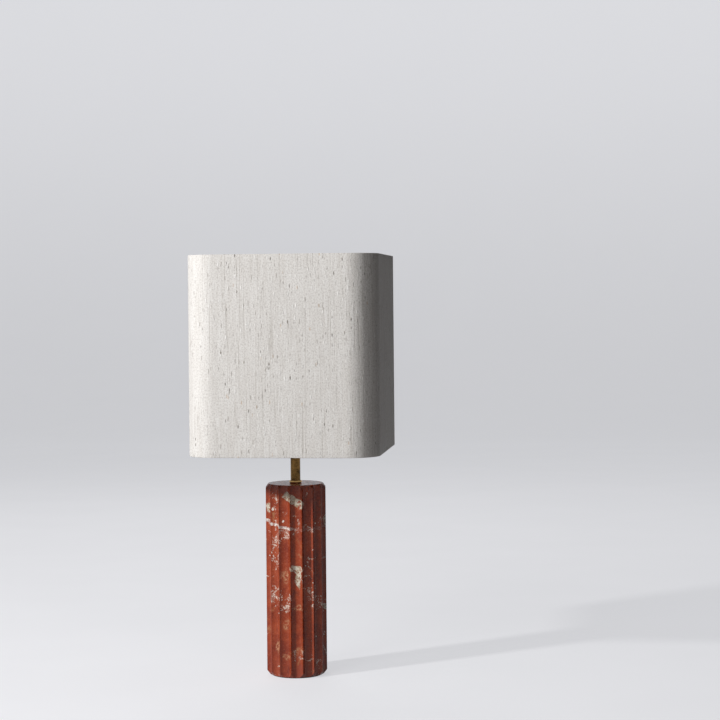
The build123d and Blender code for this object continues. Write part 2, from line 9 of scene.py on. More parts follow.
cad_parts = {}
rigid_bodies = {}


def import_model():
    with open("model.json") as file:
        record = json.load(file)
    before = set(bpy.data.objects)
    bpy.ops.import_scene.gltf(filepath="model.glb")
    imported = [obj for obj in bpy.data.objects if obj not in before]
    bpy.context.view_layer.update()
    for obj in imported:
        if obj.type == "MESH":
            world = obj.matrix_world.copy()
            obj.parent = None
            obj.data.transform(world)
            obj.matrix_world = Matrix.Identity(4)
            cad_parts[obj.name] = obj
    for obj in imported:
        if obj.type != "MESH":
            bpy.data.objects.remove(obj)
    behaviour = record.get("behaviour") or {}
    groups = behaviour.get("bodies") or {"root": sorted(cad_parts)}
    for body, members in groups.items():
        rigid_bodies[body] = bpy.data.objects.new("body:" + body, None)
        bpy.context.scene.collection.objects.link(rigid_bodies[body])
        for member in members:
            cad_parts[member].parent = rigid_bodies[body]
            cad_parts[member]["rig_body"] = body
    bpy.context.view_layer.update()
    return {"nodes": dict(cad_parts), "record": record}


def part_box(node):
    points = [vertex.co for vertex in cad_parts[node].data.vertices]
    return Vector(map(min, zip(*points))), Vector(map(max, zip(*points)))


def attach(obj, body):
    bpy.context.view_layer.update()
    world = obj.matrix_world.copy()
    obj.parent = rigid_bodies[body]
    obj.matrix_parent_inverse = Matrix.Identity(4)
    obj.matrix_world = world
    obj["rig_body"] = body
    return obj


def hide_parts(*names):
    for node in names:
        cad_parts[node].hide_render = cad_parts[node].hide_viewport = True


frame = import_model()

# Column table lamp: the shade's silk, the felt, the threads, the finishes, and the
# studio round it. Metres, in the frame of the solids.

MM = 0.001


def level(node, side):
    """Foot (0) or top (1) level of a solid."""
    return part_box(node)[side].z


def reach(node):
    """How far a solid reaches from the lamp's axis along X."""
    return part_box(node)[1].x


# ------------------------------------------------------------------- mesh making


def grid_faces(rows, columns, closed):
    """Quads of a grid numbered row by row. With rows down the outside and columns
    anticlockwise from above, they face outward. Closed joins the last column to the first."""
    across = columns if closed else columns - 1
    row, column = np.meshgrid(np.arange(rows - 1), np.arange(across), indexing="ij")
    here = row * columns + column
    beside = row * columns + (column + 1) % columns
    return np.stack([here, here + columns, beside + columns, beside], axis=-1)


def sheet_mesh(name, points, closed=False, keep=None, flat=None, crease=35):
    """Object from a grid of points. keep is a mask of its quads, and flat holds the
    points' places on the flat cut, for patterns that follow the cloth."""
    rows, columns = points.shape[:2]
    quads = grid_faces(rows, columns, closed)
    quads = quads[keep] if keep is not None else quads.reshape(-1, 4)
    mesh = bpy.data.meshes.new(name)
    mesh.from_pydata(points.reshape(-1, 3).tolist(), [], quads.tolist())
    if flat is not None:
        corners = np.empty(len(mesh.loops), np.int32)
        mesh.loops.foreach_get("vertex_index", corners)
        layer = mesh.uv_layers.new(name="Cloth")
        layer.uv.foreach_set("vector", flat.reshape(-1, 2)[corners].ravel())
    mesh.shade_smooth()
    mesh.set_sharp_from_angle(angle=math.radians(crease))
    piece = bpy.data.objects.new(name, mesh)
    bpy.context.scene.collection.objects.link(piece)
    return piece


def weld(piece, distance=1e-7):
    """Merges points that share a place, so that seams and poles are closed."""
    work = bmesh.new()
    work.from_mesh(piece.data)
    bmesh.ops.remove_doubles(work, verts=work.verts, dist=distance)
    bmesh.ops.dissolve_degenerate(work, edges=work.edges, dist=distance)
    work.to_mesh(piece.data)
    work.free()
    return piece


def thicken(piece, thickness):
    """Gives a sheet its thickness, inward from the surface that was drawn."""
    wall = piece.modifiers.new("thickness", "SOLIDIFY")
    wall.thickness = thickness
    wall.offset = -1
    wall.use_even_offset = True


def stand_for(piece, node, slot):
    """Puts a detailed piece in the place of a solid, on the solid's own body and in the
    finish that its slot names."""
    piece.data.materials.append(finishes[slot])
    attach(piece, frame["nodes"][node]["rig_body"])
    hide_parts(node)
    return piece


# --------------------------------------------------------------------- finishes


def tint(red, green, blue):
    """Screen colour, 0 to 255, as the linear colour that a shader takes."""
    screen = np.array([red, green, blue]) / 255
    linear = np.where(screen <= 0.04045, screen / 12.92, ((screen + 0.055) / 1.055) ** 2.4)
    return (*linear.tolist(), 1.0)


class Finish:
    """A material, with short ways to lay out the nodes of its pattern."""

    def __init__(self, name, **values):
        self.material = bpy.data.materials.new(name)
        self.material.use_nodes = True
        self.tree = self.material.node_tree
        self.shader = next(n for n in self.tree.nodes if n.type == "BSDF_PRINCIPLED")
        for socket, value in values.items():
            self.shader.inputs[socket.replace("_", " ")].default_value = value
        where = self.tree.nodes.new("ShaderNodeTexCoord")
        self.place = where.outputs["Object"]
        self.cloth = where.outputs["UV"]

    def node(self, kind, inputs, **settings):
        """Adds a node. Inputs go by name or number, and each is a number, a colour, or the
        output that feeds it."""
        made = self.tree.nodes.new("ShaderNode" + kind)
        for name, value in settings.items():
            setattr(made, name, value)
        for name, value in inputs.items():
            if isinstance(value, bpy.types.NodeSocket):
                self.tree.links.new(value, made.inputs[name])
            else:
                made.inputs[name].default_value = value
        return made

    def stretch(self, along, turn=(0, 0, 0), shift=(0, 0, 0), at=None):
        """Coordinates multiplied along each axis, after a turn."""
        inputs = {"Vector": at or self.place, "Scale": along, "Rotation": turn, "Location": shift}
        return self.node("Mapping", inputs).outputs["Vector"]

    def noise(self, scale, detail=3, roughness=0.5, distortion=0.0, at=None):
        """Smooth noise about 0.5, with scale features to the metre."""
        inputs = {
            "Vector": at or self.place,
            "Scale": scale,
            "Detail": detail,
            "Roughness": roughness,
            "Distortion": distortion,
        }
        return self.node("TexNoise", inputs).outputs["Fac"]

    def cells(self, scale, at=None):
        """Cells round scattered points, with the distance from each and its chance colour."""
        return self.node("TexVoronoi", {"Vector": at or self.place, "Scale": scale})

    def rise(self, value, low, high, to=(0.0, 1.0)):
        """Smooth step from to[0] at low to to[1] at high; low may be the larger."""
        inputs = {"Value": value, "From Min": low, "From Max": high}
        inputs.update({"To Min": to[0], "To Max": to[1]})
        return self.node("MapRange", inputs, interpolation_type="SMOOTHSTEP").outputs["Result"]

    def sum(self, first, second, operation="ADD"):
        """Sum of two values, or another operation on them."""
        return self.node("Math", {0: first, 1: second}, operation=operation).outputs[0]

    def both(self, first, second):
        """Product, so a share shows only where both do."""
        return self.sum(first, second, "MULTIPLY")

    def either(self, first, second):
        """The larger of two shares."""
        return self.sum(first, second, "MAXIMUM")

    def off(self, value, level):
        """How far a value is from a level, up or down."""
        return self.sum(self.sum(value, level, "SUBTRACT"), 0, "ABSOLUTE")

    def mix(self, share, under, over):
        """Colour that goes from under to over by a share."""
        return self.node("Mix", {0: share, 6: under, 7: over}, data_type="RGBA").outputs[2]

    def wander(self, scale, amount, detail=3, at=None):
        """Coordinates pushed about by noise, so that what is drawn on them wanders."""
        at = at or self.place
        middle = (0.5, 0.5, 0.5)
        push = self.node("TexNoise", {"Vector": at, "Scale": scale, "Detail": detail})
        push = self.node("VectorMath", {0: push.outputs["Color"], 1: middle}, operation="SUBTRACT")
        push = self.node("VectorMath", {0: push.outputs[0], "Scale": amount}, operation="SCALE")
        return self.node("VectorMath", {0: at, 1: push.outputs[0]}, operation="ADD").outputs[0]

    def beyond(self, normal, distance, at):
        """Signed distance from a plane, given by its normal and distance from the origin."""
        along = Vector(normal).normalized()
        made = self.node("VectorMath", {0: at, 1: tuple(along)}, operation="DOT_PRODUCT")
        return self.sum(made.outputs["Value"], distance, "SUBTRACT")

    def patch(self, centre, size, at, edge=(1.08, 0.92)):
        """1 inside an ellipsoid, 0 outside it; the edge gives where it starts and ends."""
        away = self.node("VectorMath", {0: at, 1: centre}, operation="SUBTRACT")
        scaled = self.node("VectorMath", {0: away.outputs[0], 1: size}, operation="DIVIDE")
        far = self.node("VectorMath", {0: scaled.outputs[0]}, operation="LENGTH")
        return self.rise(far.outputs["Value"], *edge)

    def patches(self, marks, at, edge):
        """1 inside any of several ellipsoids, each given by its centre and half-size."""
        share = 0.0
        for centre, size in marks:
            share = self.either(share, self.patch(centre, size, at, edge))
        return share

    def colour(self, value):
        """Feeds the base colour."""
        self.tree.links.new(value, self.shader.inputs["Base Color"])

    def roughness(self, value):
        """Feeds the roughness."""
        self.tree.links.new(value, self.shader.inputs["Roughness"])

    def relief(self, height, depth, strength=1.0):
        """Bump whose height of 1 is depth metres."""
        inputs = {"Height": height, "Distance": depth, "Strength": strength}
        made = self.node("Bump", inputs)
        self.tree.links.new(made.outputs["Normal"], self.shader.inputs["Normal"])


# Marks of the marble, in metres. Flecks, patches and swarms are each a centre and a
# half-size, veins and the bar's lower face a normal and a distance from the origin, and
# dots a centre.
tan_flecks = (
    ((-0.0085, -0.045, 0.0865), (0.0060, 0.010, 0.0085)),
    ((0.011, -0.045, 0.043), (0.0085, 0.010, 0.0055)),
    ((-0.010, -0.045, 0.034), (0.0070, 0.010, 0.0040)),
    ((0.0095, -0.045, 0.114), (0.0080, 0.010, 0.0040)),
    ((-0.026, -0.038, 0.052), (0.0045, 0.010, 0.0110)),
    ((-0.012, -0.045, 0.166), (0.0070, 0.010, 0.0120)),
    ((0.034, 0.034, 0.236), (0.0120, 0.012, 0.0080)),
    ((-0.044, 0.018, 0.150), (0.0100, 0.012, 0.0160)),
)
cream_patches = (
    ((-0.043, -0.027, 0.275), (0.0080, 0.0120, 0.0100)),
    ((0.0085, -0.046, 0.1775), (0.0100, 0.0120, 0.0065)),
    ((0.011, -0.045, 0.163), (0.0040, 0.0120, 0.0170)),
    ((0.030, 0.040, 0.090), (0.0140, 0.0100, 0.0070)),
    ((-0.030, 0.036, 0.225), (0.0090, 0.0120, 0.0160)),
    ((0.046, 0.002, 0.255), (0.0100, 0.0055, 0.0120)),
    ((0.048, -0.006, 0.112), (0.0080, 0.0120, 0.0045)),
    ((-0.047, 0.012, 0.070), (0.0080, 0.0050, 0.0130)),
    ((0.006, 0.049, 0.292), (0.0140, 0.0100, 0.0060)),
)
crystal_swarms = (
    ((-0.027, -0.038, 0.208), (0.012, 0.016, 0.046)),
    ((-0.030, -0.036, 0.134), (0.022, 0.016, 0.020)),
    ((-0.010, -0.046, 0.124), (0.014, 0.014, 0.024)),
    ((-0.012, -0.045, 0.236), (0.014, 0.014, 0.016)),
    ((0.032, -0.038, 0.136), (0.010, 0.016, 0.026)),
    ((0.030, -0.038, 0.242), (0.010, 0.016, 0.013)),
    ((0.038, 0.030, 0.180), (0.020, 0.018, 0.046)),
    ((-0.020, 0.044, 0.120), (0.030, 0.016, 0.020)),
    ((0.004, 0.048, 0.236), (0.030, 0.016, 0.014)),
)
cream_bar_face = ((0.545, 0, 0.838), 0.2384)
cream_bar_width = 0.0128
cream_bar_reach = ((0.002, -0.046, 0.288), (0.0185, 0.020, 0.020))
front_vein = ((0.1226, -0.1682, 0.9781), 0.2455)
back_veins = (((-0.52, 0.30, 0.80), 0.128), ((0.75, 0.42, 0.50), 0.052))
single_dots = ((-0.033, -0.036, 0.2740), (-0.015, -0.045, 0.2545), (-0.041, -0.027, 0.1965))
single_dot_size = (0.0017, 0.010, 0.0021)
vein_edge = (0.0003, -0.0003)


def red_marble():
    """Polished brick-red marble: low clouds, rose towards the foot, tan stains and flecks,
    cream patches, strings and swarms of pale crystals, a white vein with mauve grains, and
    dots."""
    made = Finish("red_marble", Specular_IOR_Level=0.3)
    brick, light_brick, orange_brick = tint(132, 47, 23), tint(164, 70, 37), tint(178, 86, 54)
    pale_grain, dark_grain, dark_cloud = tint(196, 112, 76), tint(92, 30, 18), tint(98, 33, 20)
    rose, stain = tint(146, 72, 58), tint(186, 138, 96)
    fleck, halo = tint(200, 148, 112), tint(184, 100, 68)
    stone = made.wander(28, 0.012)
    torn = made.wander(95, 0.007, 5)
    ragged = made.wander(75, 0.016, 6)

    # Body of the stone: clouds, grain, rose, stains and flecks.
    clouds = made.noise(24, 6, 0.64, 0.5, stone)
    colour = made.mix(made.rise(clouds, 0.34, 0.64), brick, light_brick)
    warm = made.noise(150, 4, 0.65)
    colour = made.mix(made.rise(warm, 0.5, 0.72, (0, 0.5)), colour, orange_brick)
    grain = made.noise(380, 4, 0.7)
    colour = made.mix(made.rise(grain, 0.5, 0.76, (0, 0.5)), colour, pale_grain)
    colour = made.mix(made.rise(grain, 0.44, 0.26, (0, 0.55)), colour, dark_grain)
    dark = made.noise(44, 5, 0.7, 0.6, stone)
    colour = made.mix(made.rise(dark, 0.42, 0.3, (0, 0.7)), colour, dark_cloud)
    rosy = made.rise(made.beyond((0, 0, 1), 0.0, torn), 0.10, -0.02, (0.0, 0.3))
    rosy = made.sum(rosy, made.rise(made.noise(15, 5, 0.6, 0.4, stone), 0.52, 0.7, (0, 0.5)))
    colour = made.mix(rosy, colour, rose)
    stains = made.rise(made.noise(36, 4, 0.6, 0.8, torn), 0.62, 0.72, (0, 0.65))
    colour = made.mix(stains, colour, stain)
    broken = made.rise(made.noise(230, 5, 0.72, 0.4), 0.44, 0.58, (0.0, 0.85))
    flecks = made.both(made.patches(tan_flecks, ragged, (1.3, 0.5)), broken)
    colour = made.mix(flecks, colour, fleck)

    # Cream bar near the rim, and cream patches, both with holes.
    across = made.beyond(*cream_bar_face, torn)
    bar = made.rise(across, -0.0003, 0.0003)
    bar = made.both(bar, made.rise(across, cream_bar_width, cream_bar_width - 0.001))
    bar = made.both(bar, made.patch(*cream_bar_reach, torn))
    cream = made.either(bar, made.patches(cream_patches, ragged, (1.15, 0.85)))
    cream = made.both(cream, made.rise(made.noise(210, 4, 0.65), 0.38, 0.46))
    chalk = made.rise(made.noise(240, 4, 0.6, 0.6), 0.4, 0.58)
    colour = made.mix(cream, colour, made.mix(chalk, tint(176, 152, 124), tint(226, 217, 200)))

    # Crystals, thickest in the swarms and along strings of them.
    drift = made.rise(made.off(made.noise(15, 2, 0.4, 0.35, stone), 0.5), 0.03, 0.0)
    drift = made.both(drift, made.rise(made.noise(19, 2, 0.5), 0.44, 0.56))
    swarm = made.either(drift, made.patches(crystal_swarms, ragged, (1.1, 0.45)))
    strings = made.rise(made.off(made.noise(52, 3, 0.55, 0.5, torn), 0.5), 0.10, 0.02)
    swarm = made.both(swarm, made.sum(made.both(strings, 0.65), 0.35))
    colour = made.mix(made.rise(swarm, 0.2, 1.0, (0, 0.35)), colour, halo)
    crumbs = made.noise(540, 3, 0.6, 0.3)
    least = made.rise(swarm, 0.0, 1.0, (0.74, 0.45))
    crystals = made.rise(made.sum(crumbs, least, "SUBTRACT"), 0.0, 0.05, (0, 0.9))
    tone = made.rise(made.noise(270, 2, 0.5, 0.0, torn), 0.44, 0.6)
    crystal = made.mix(tone, tint(172, 126, 112), tint(234, 222, 210))
    colour = made.mix(crystals, colour, crystal)

    # White veins: one in front, which is faint on the right, and two behind.
    width = made.rise(made.noise(150, 3), 0.3, 0.7, (0.0013, 0.0031))
    vein = made.off(made.beyond(*front_vein, made.wander(60, 0.005, 4)), 0)
    white = made.rise(made.sum(vein, width, "SUBTRACT"), *vein_edge)
    to_right = made.beyond((1, 0, 0), 0.0, stone)
    white = made.both(white, made.rise(to_right, 0.004, -0.003, (0.2, 1.0)))
    behind = made.rise(made.beyond((0, 1, 0), 0.0, stone), -0.016, 0.004)
    for normal, distance in back_veins:
        vein = made.off(made.beyond(normal, distance, made.wander(34, 0.014, 5)), 0)
        vein = made.rise(made.sum(vein, made.both(width, 0.6), "SUBTRACT"), *vein_edge)
        white = made.either(white, made.both(vein, behind))
    colour = made.mix(white, colour, made.mix(tone, tint(180, 146, 138), tint(242, 235, 228)))

    # Dots, strewn all round and a few single ones in front.
    scattered = made.cells(80, at=made.wander(320, 0.0016))
    chance = made.node("SeparateColor", {"Color": scattered.outputs["Color"]}).outputs[1]
    dots = made.rise(scattered.outputs["Distance"], 0.13, 0.08)
    dots = made.both(dots, made.sum(chance, 0.86, "GREATER_THAN"))
    for centre in single_dots:
        dots = made.either(dots, made.patch(centre, single_dot_size, torn))
    made.colour(made.mix(dots, colour, tint(240, 232, 222)))

    made.roughness(made.rise(made.noise(140, 4), 0.3, 0.7, (0.16, 0.3)))
    made.relief(made.either(white, crystals), -0.00006, 0.5)
    return made.material


def slubbed_silk():
    """Off-white silk with its slubs upright: a fine uneven grain and upright threads, partly the
    yarn's own tone and partly painted shade and painted highlight of the weave, thin lines between
    them, and knots and short hairs in the yarn, dark, pale and a few tan."""
    made = Finish("shade_silk", Roughness=0.72, Sheen_Weight=0.12, Sheen_Roughness=0.5)
    yarn, pale_yarn, shaded, lit = (
        tint(232, 229, 225),
        tint(240, 238, 235),
        tint(206, 202, 197),
        tint(251, 250, 248),
    )
    between, dark_hair, dark_knot = tint(184, 178, 170), tint(152, 144, 134), tint(118, 109, 98)
    pale_knot, tan_knot = tint(254, 253, 251), tint(196, 162, 122)

    grain = made.noise(1, 3, 0.72, 0.0, made.stretch((430, 360, 1), at=made.cloth))
    threads = made.noise(1, 3, 0.6, 0.0, made.stretch((540, 24, 1), at=made.cloth))
    lines = made.noise(1, 2, 0.6, 0.0, made.stretch((380, 7, 1), shift=(5, 2, 0), at=made.cloth))
    slub = made.noise(1, 3, 0.5, 0.0, made.stretch((110, 12, 1), at=made.cloth))
    colour = made.mix(made.rise(slub, 0.32, 0.7), yarn, pale_yarn)
    # Painted shade and painted highlight of the weave: the grain darkens the yarn towards a shaded
    # copy and the threads lighten it towards a lit copy, partly the yarn's own uneven tone.
    colour = made.mix(made.rise(grain, 0.40, 0.70), colour, shaded)
    colour = made.mix(made.rise(threads, 0.46, 0.72, (0, 0.5)), colour, lit)
    line = made.rise(lines, 0.56, 0.68)
    colour = made.mix(made.both(line, 0.46), colour, between)

    ragged = made.wander(700, 0.0012, 2, made.cloth)
    knots = made.cells(1, at=made.stretch((300, 105, 1), at=ragged))
    chance = made.node("SeparateColor", {"Color": knots.outputs["Color"]})
    knot = made.rise(knots.outputs["Distance"], 0.42, 0.16)
    likely = made.sum(chance.outputs[0], made.rise(slub, 0.45, 0.65, (0.0, 0.16)))
    dark = made.both(knot, made.rise(likely, 0.84, 1.16))
    pale = made.both(knot, made.rise(chance.outputs[1], 0.76, 1.0, (0, 0.8)))
    tan = made.both(knot, made.rise(chance.outputs[2], 0.99, 0.998, (0, 0.5)))
    hairs = made.cells(1, at=made.stretch((330, 62, 1), shift=(3.1, 7.7, 0), at=ragged))
    thin = made.node("SeparateColor", {"Color": hairs.outputs["Color"]}).outputs[0]
    hair = made.both(made.rise(hairs.outputs["Distance"], 0.34, 0.14), made.rise(thin, 0.75, 1.0))
    colour = made.mix(made.both(hair, 0.6), colour, dark_hair)
    colour = made.mix(made.both(dark, 0.9), colour, dark_knot)
    colour = made.mix(pale, colour, pale_knot)
    made.colour(made.mix(tan, colour, tan_knot))

    height = made.sum(made.both(grain, 0.8), made.both(line, -0.2))
    height = made.sum(height, made.sum(made.either(dark, pale), made.both(hair, 0.6)))
    made.relief(height, 0.0006, 0.8)
    return made.material


def brass(name, dark, bright, smooth, worn, patina):
    """Turned brass: fine rings round the axis, and a patina that gathers in clouds."""
    made = Finish(name, Metallic=1.0)
    rings = made.noise(1, 2, 0.5, 0.0, made.stretch((30, 30, 4200)))
    clouds = made.noise(70, 5, 0.62)
    fine = made.noise(620, 3, 0.6)
    share = made.sum(made.both(clouds, 0.7), made.both(fine, 0.3))
    made.colour(made.mix(made.rise(share, *patina), dark, bright))
    scratched = made.sum(made.both(rings, 0.5), made.both(clouds, 0.5))
    made.roughness(made.rise(scratched, 0.35, 0.65, (smooth, worn)))
    made.relief(rings, 0.00002, 0.6)
    return made.material


def plated_steel():
    """Zinc plate: fine turned marks and a faint blue and yellow bloom."""
    made = Finish("plated_steel", Metallic=1.0)
    bloom = made.noise(55, 4, 0.6)
    made.colour(made.mix(made.rise(bloom, 0.35, 0.65), tint(168, 172, 178), tint(196, 192, 178)))
    marks = made.noise(1, 2, 0.5, 0.0, made.stretch((60, 60, 2600)))
    made.roughness(made.rise(marks, 0.3, 0.7, (0.26, 0.42)))
    made.relief(marks, 0.00003, 0.5)
    return made.material


def glazed_porcelain():
    """White glaze over porcelain, with a little pitting and warm pooling."""
    made = Finish("porcelain", Coat_Weight=0.6, Coat_Roughness=0.06)
    pool = made.noise(60, 3, 0.5)
    colour = made.mix(made.rise(pool, 0.4, 0.7), tint(238, 236, 229), tint(226, 221, 210))
    pits = made.cells(900)
    pit = made.rise(pits.outputs["Distance"], 0.16, 0.06)
    made.colour(made.mix(made.both(pit, 0.35), colour, tint(176, 166, 150)))
    made.roughness(made.rise(made.noise(300, 2), 0.3, 0.7, (0.12, 0.24)))
    made.relief(pit, -0.00003, 0.6)
    return made.material


def opal_glass():
    """Opal bulb glass: white, smooth, with a faint grain of the coat inside."""
    made = Finish("opal_glass", Coat_Weight=0.8, Coat_Roughness=0.03)
    coat = made.noise(800, 2, 0.5)
    made.colour(made.mix(made.rise(coat, 0.3, 0.7), tint(238, 238, 234), tint(246, 246, 243)))
    made.roughness(made.rise(made.noise(90, 3), 0.3, 0.7, (0.2, 0.3)))
    return made.material


def black_glass():
    """Fused black glass under the bulb's cap, with a few trapped bubbles."""
    made = Finish("dark_glass", Coat_Weight=0.5)
    bubbles = made.rise(made.cells(1100).outputs["Distance"], 0.22, 0.1)
    made.colour(made.mix(made.both(bubbles, 0.5), tint(14, 14, 16), tint(52, 52, 60)))
    made.roughness(made.rise(made.noise(240, 2), 0.3, 0.7, (0.06, 0.18)))
    return made.material


def clear_glass():
    """Clear glass of the bulb's stem, faintly green and drawn in streaks."""
    made = Finish("clear_glass", Transmission_Weight=1.0, IOR=1.5)
    streaks = made.noise(1, 2, 0.5, 0.0, made.stretch((700, 700, 30)))
    made.colour(made.mix(made.rise(streaks, 0.3, 0.7), tint(240, 247, 244), tint(226, 240, 236)))
    made.roughness(made.rise(streaks, 0.3, 0.7, (0.02, 0.08)))
    made.relief(streaks, 0.00003, 0.4)
    return made.material


def moulded_plastic():
    """Dark moulded plastic with a fine spark-eroded grain."""
    made = Finish("dark_plastic")
    cloud = made.noise(120, 3)
    made.colour(made.mix(made.rise(cloud, 0.35, 0.65), tint(30, 26, 24), tint(42, 38, 35)))
    grain = made.noise(2400, 2, 0.6)
    made.roughness(made.rise(grain, 0.3, 0.7, (0.38, 0.56)))
    made.relief(grain, 0.00004, 0.5)
    return made.material


def powder_coat():
    """White powder coat on wire: a soft orange peel and slight greying."""
    made = Finish("white_wire", Coat_Weight=0.2, Coat_Roughness=0.2)
    greying = made.noise(40, 3)
    made.colour(made.mix(made.rise(greying, 0.4, 0.7), tint(236, 235, 230), tint(222, 220, 214)))
    peel = made.noise(1300, 2, 0.5)
    made.roughness(made.rise(peel, 0.3, 0.7, (0.32, 0.46)))
    made.relief(peel, 0.00006, 0.6)
    return made.material


def shade_lining():
    """Satin white lining with a fine pressed grain and the weave showing faintly."""
    made = Finish("shade_lining")
    mottle = made.noise(26, 4, 0.6)
    threads = made.noise(1, 2, 0.5, 0.0, made.stretch((900, 900, 34)))
    colour = made.mix(made.rise(mottle, 0.35, 0.65), tint(238, 235, 228), tint(230, 226, 217))
    made.colour(made.mix(made.rise(threads, 0.5, 0.8, (0, 0.35)), colour, tint(220, 215, 205)))
    grain = made.noise(2200, 2)
    made.roughness(made.rise(grain, 0.3, 0.7, (0.42, 0.55)))
    made.relief(grain, 0.00003, 0.5)
    return made.material


def wool_felt():
    """Charcoal wool felt: matted fibres, a few pale hairs."""
    made = Finish("felt", Sheen_Weight=0.4, Sheen_Roughness=0.6)
    mat = made.noise(900, 5, 0.7, 1.5)
    colour = made.mix(made.rise(mat, 0.35, 0.68), tint(28, 27, 27), tint(64, 62, 60))
    hairs = made.noise(1, 2, 0.5, 3.0, made.stretch((420, 1600, 900), turn=(0, 0, 0.6)))
    made.colour(made.mix(made.rise(hairs, 0.66, 0.74, (0, 0.6)), colour, tint(118, 114, 108)))
    made.roughness(made.rise(mat, 0.3, 0.7, (0.86, 0.98)))
    made.relief(mat, 0.0004, 0.9)
    return made.material


def soft_solder():
    """Solder button: dull, slightly dimpled."""
    made = Finish("solder", Metallic=1.0)
    dull = made.noise(700, 4, 0.6)
    made.colour(made.mix(made.rise(dull, 0.35, 0.65), tint(150, 150, 150), tint(190, 190, 188)))
    made.roughness(made.rise(dull, 0.3, 0.7, (0.3, 0.5)))
    made.relief(dull, 0.00012, 0.6)
    return made.material


def bulb_metal():
    """Thin rolled aluminium of the bulb's cap."""
    made = Finish("bulb_metal", Metallic=1.0)
    bloom = made.noise(90, 4, 0.6)
    made.colour(made.mix(made.rise(bloom, 0.35, 0.65), tint(186, 186, 184), tint(208, 207, 203)))
    drawn = made.noise(1, 2, 0.5, 0.0, made.stretch((500, 500, 60)))
    made.roughness(made.rise(drawn, 0.3, 0.7, (0.24, 0.38)))
    made.relief(drawn, 0.00002, 0.5)
    return made.material


def filament_coat():
    """Yellow phosphor coat of the filaments, a little lumpy."""
    made = Finish("filament")
    lumps = made.noise(1500, 3, 0.6)
    made.colour(made.mix(made.rise(lumps, 0.35, 0.65), tint(232, 190, 78), tint(247, 216, 122)))
    made.roughness(made.rise(lumps, 0.3, 0.7, (0.5, 0.7)))
    made.relief(lumps, 0.00008, 0.6)
    return made.material


finishes = {
    "red_marble": red_marble(),
    "felt": wool_felt(),
    "dark_plastic": moulded_plastic(),
    "plated_steel": plated_steel(),
    "brass": brass("brass", tint(150, 112, 62), tint(222, 184, 122), 0.16, 0.3, (0.3, 0.5)),
    "aged_brass": brass(
        "aged_brass", tint(62, 45, 24), tint(128, 98, 56), 0.26, 0.42, (0.38, 0.62)
    ),
    "porcelain": glazed_porcelain(),
    "opal_glass": opal_glass(),
    "bulb_metal": bulb_metal(),
    "dark_glass": black_glass(),
    "solder": soft_solder(),
    "clear_glass": clear_glass(),
    "filament": filament_coat(),
    "white_wire": powder_coat(),
    "shade_lining": shade_lining(),
    "shade_silk": slubbed_silk(),
}

slot_of = {row["node"]: row["material_slot"] for row in frame["record"]["subparts"]}
for node, solid in frame["nodes"].items():
    solid.data.materials.clear()
    solid.data.materials.append(finishes[slot_of[node]])


# -------------------------------------------------------------- the shade's silk

shade_half = reach("shade_fabric")
shade_foot, shade_top = level("shade_fabric", 0), level("shade_fabric", 1)
shade_corner = 48.0 * MM
cover = shade_half - reach("shade_liner")
wire_radius = (level("shade_top_frame", 1) - level("shade_top_frame", 0)) / 2
wire_inset = shade_half - reach("shade_top_frame") + wire_radius
silk_thickness = 0.8 * MM
tuck_below_wire = 2.7 * MM
side_bow = 0.7 * MM
lap_steps = 4
lap_lift = 1.1 * silk_thickness
steps_in_quarter = 96
face_steps = 25
snipped_rows = 5
# Half of a side's straight run, and a quarter of the way round.
straight = shade_half - shade_corner
quarter = 2 * straight + shade_corner * np.pi / 2


def shade_outline(distance):
    """Place on the shade's rounded square and the outward normal there, after a distance
    anticlockwise from the middle of the back. In each quarter the line runs straight,
    turns a quarter circle and runs straight again; the quarter is then turned by 90
    degrees for each one before it. The last value is 1 at the middle of a side and falls
    to 0 at its ends as 1 - (distance from the middle / straight) squared."""
    count = np.floor(distance / quarter + 1e-9)
    along = distance - count * quarter
    before = np.clip(along, 0, straight)
    angle = np.clip((along - straight) / shade_corner, 0, np.pi / 2)
    after = np.clip(along - straight - shade_corner * np.pi / 2, 0, straight)
    x = -before - shade_corner * np.sin(angle)
    y = shade_half - shade_corner * (1 - np.cos(angle)) - after
    turn = count * np.pi / 2
    cos, sin = np.cos(turn), np.sin(turn)
    place = np.stack([x * cos - y * sin, x * sin + y * cos], axis=-1)
    normal = np.stack([-np.sin(angle + turn), np.cos(angle + turn)], axis=-1)
    middle = 1 - (np.abs(np.abs(along - quarter / 2) - quarter / 2) / straight) ** 2
    return place, normal, np.clip(middle, 0, 1)


def rolled_edge():
    """Section over one edge, as inset from the outer face and depth from the edge: along
    the tucked side, a quarter circle round the wire, level across, and a quarter circle
    round the lining's edge to the outer face."""
    roll = wire_radius + cover
    angle = np.linspace(0, np.pi / 2, 8)
    fall = 1 - np.sin(angle)
    tucked = np.linspace(roll + tuck_below_wire, roll, 3)[:-1]
    inset = [np.full(2, wire_inset + roll), wire_inset + roll * np.cos(angle), cover * fall]
    depth = [tucked, roll * fall, cover * (1 - np.cos(angle))]
    return np.concatenate(inset), np.concatenate(depth)


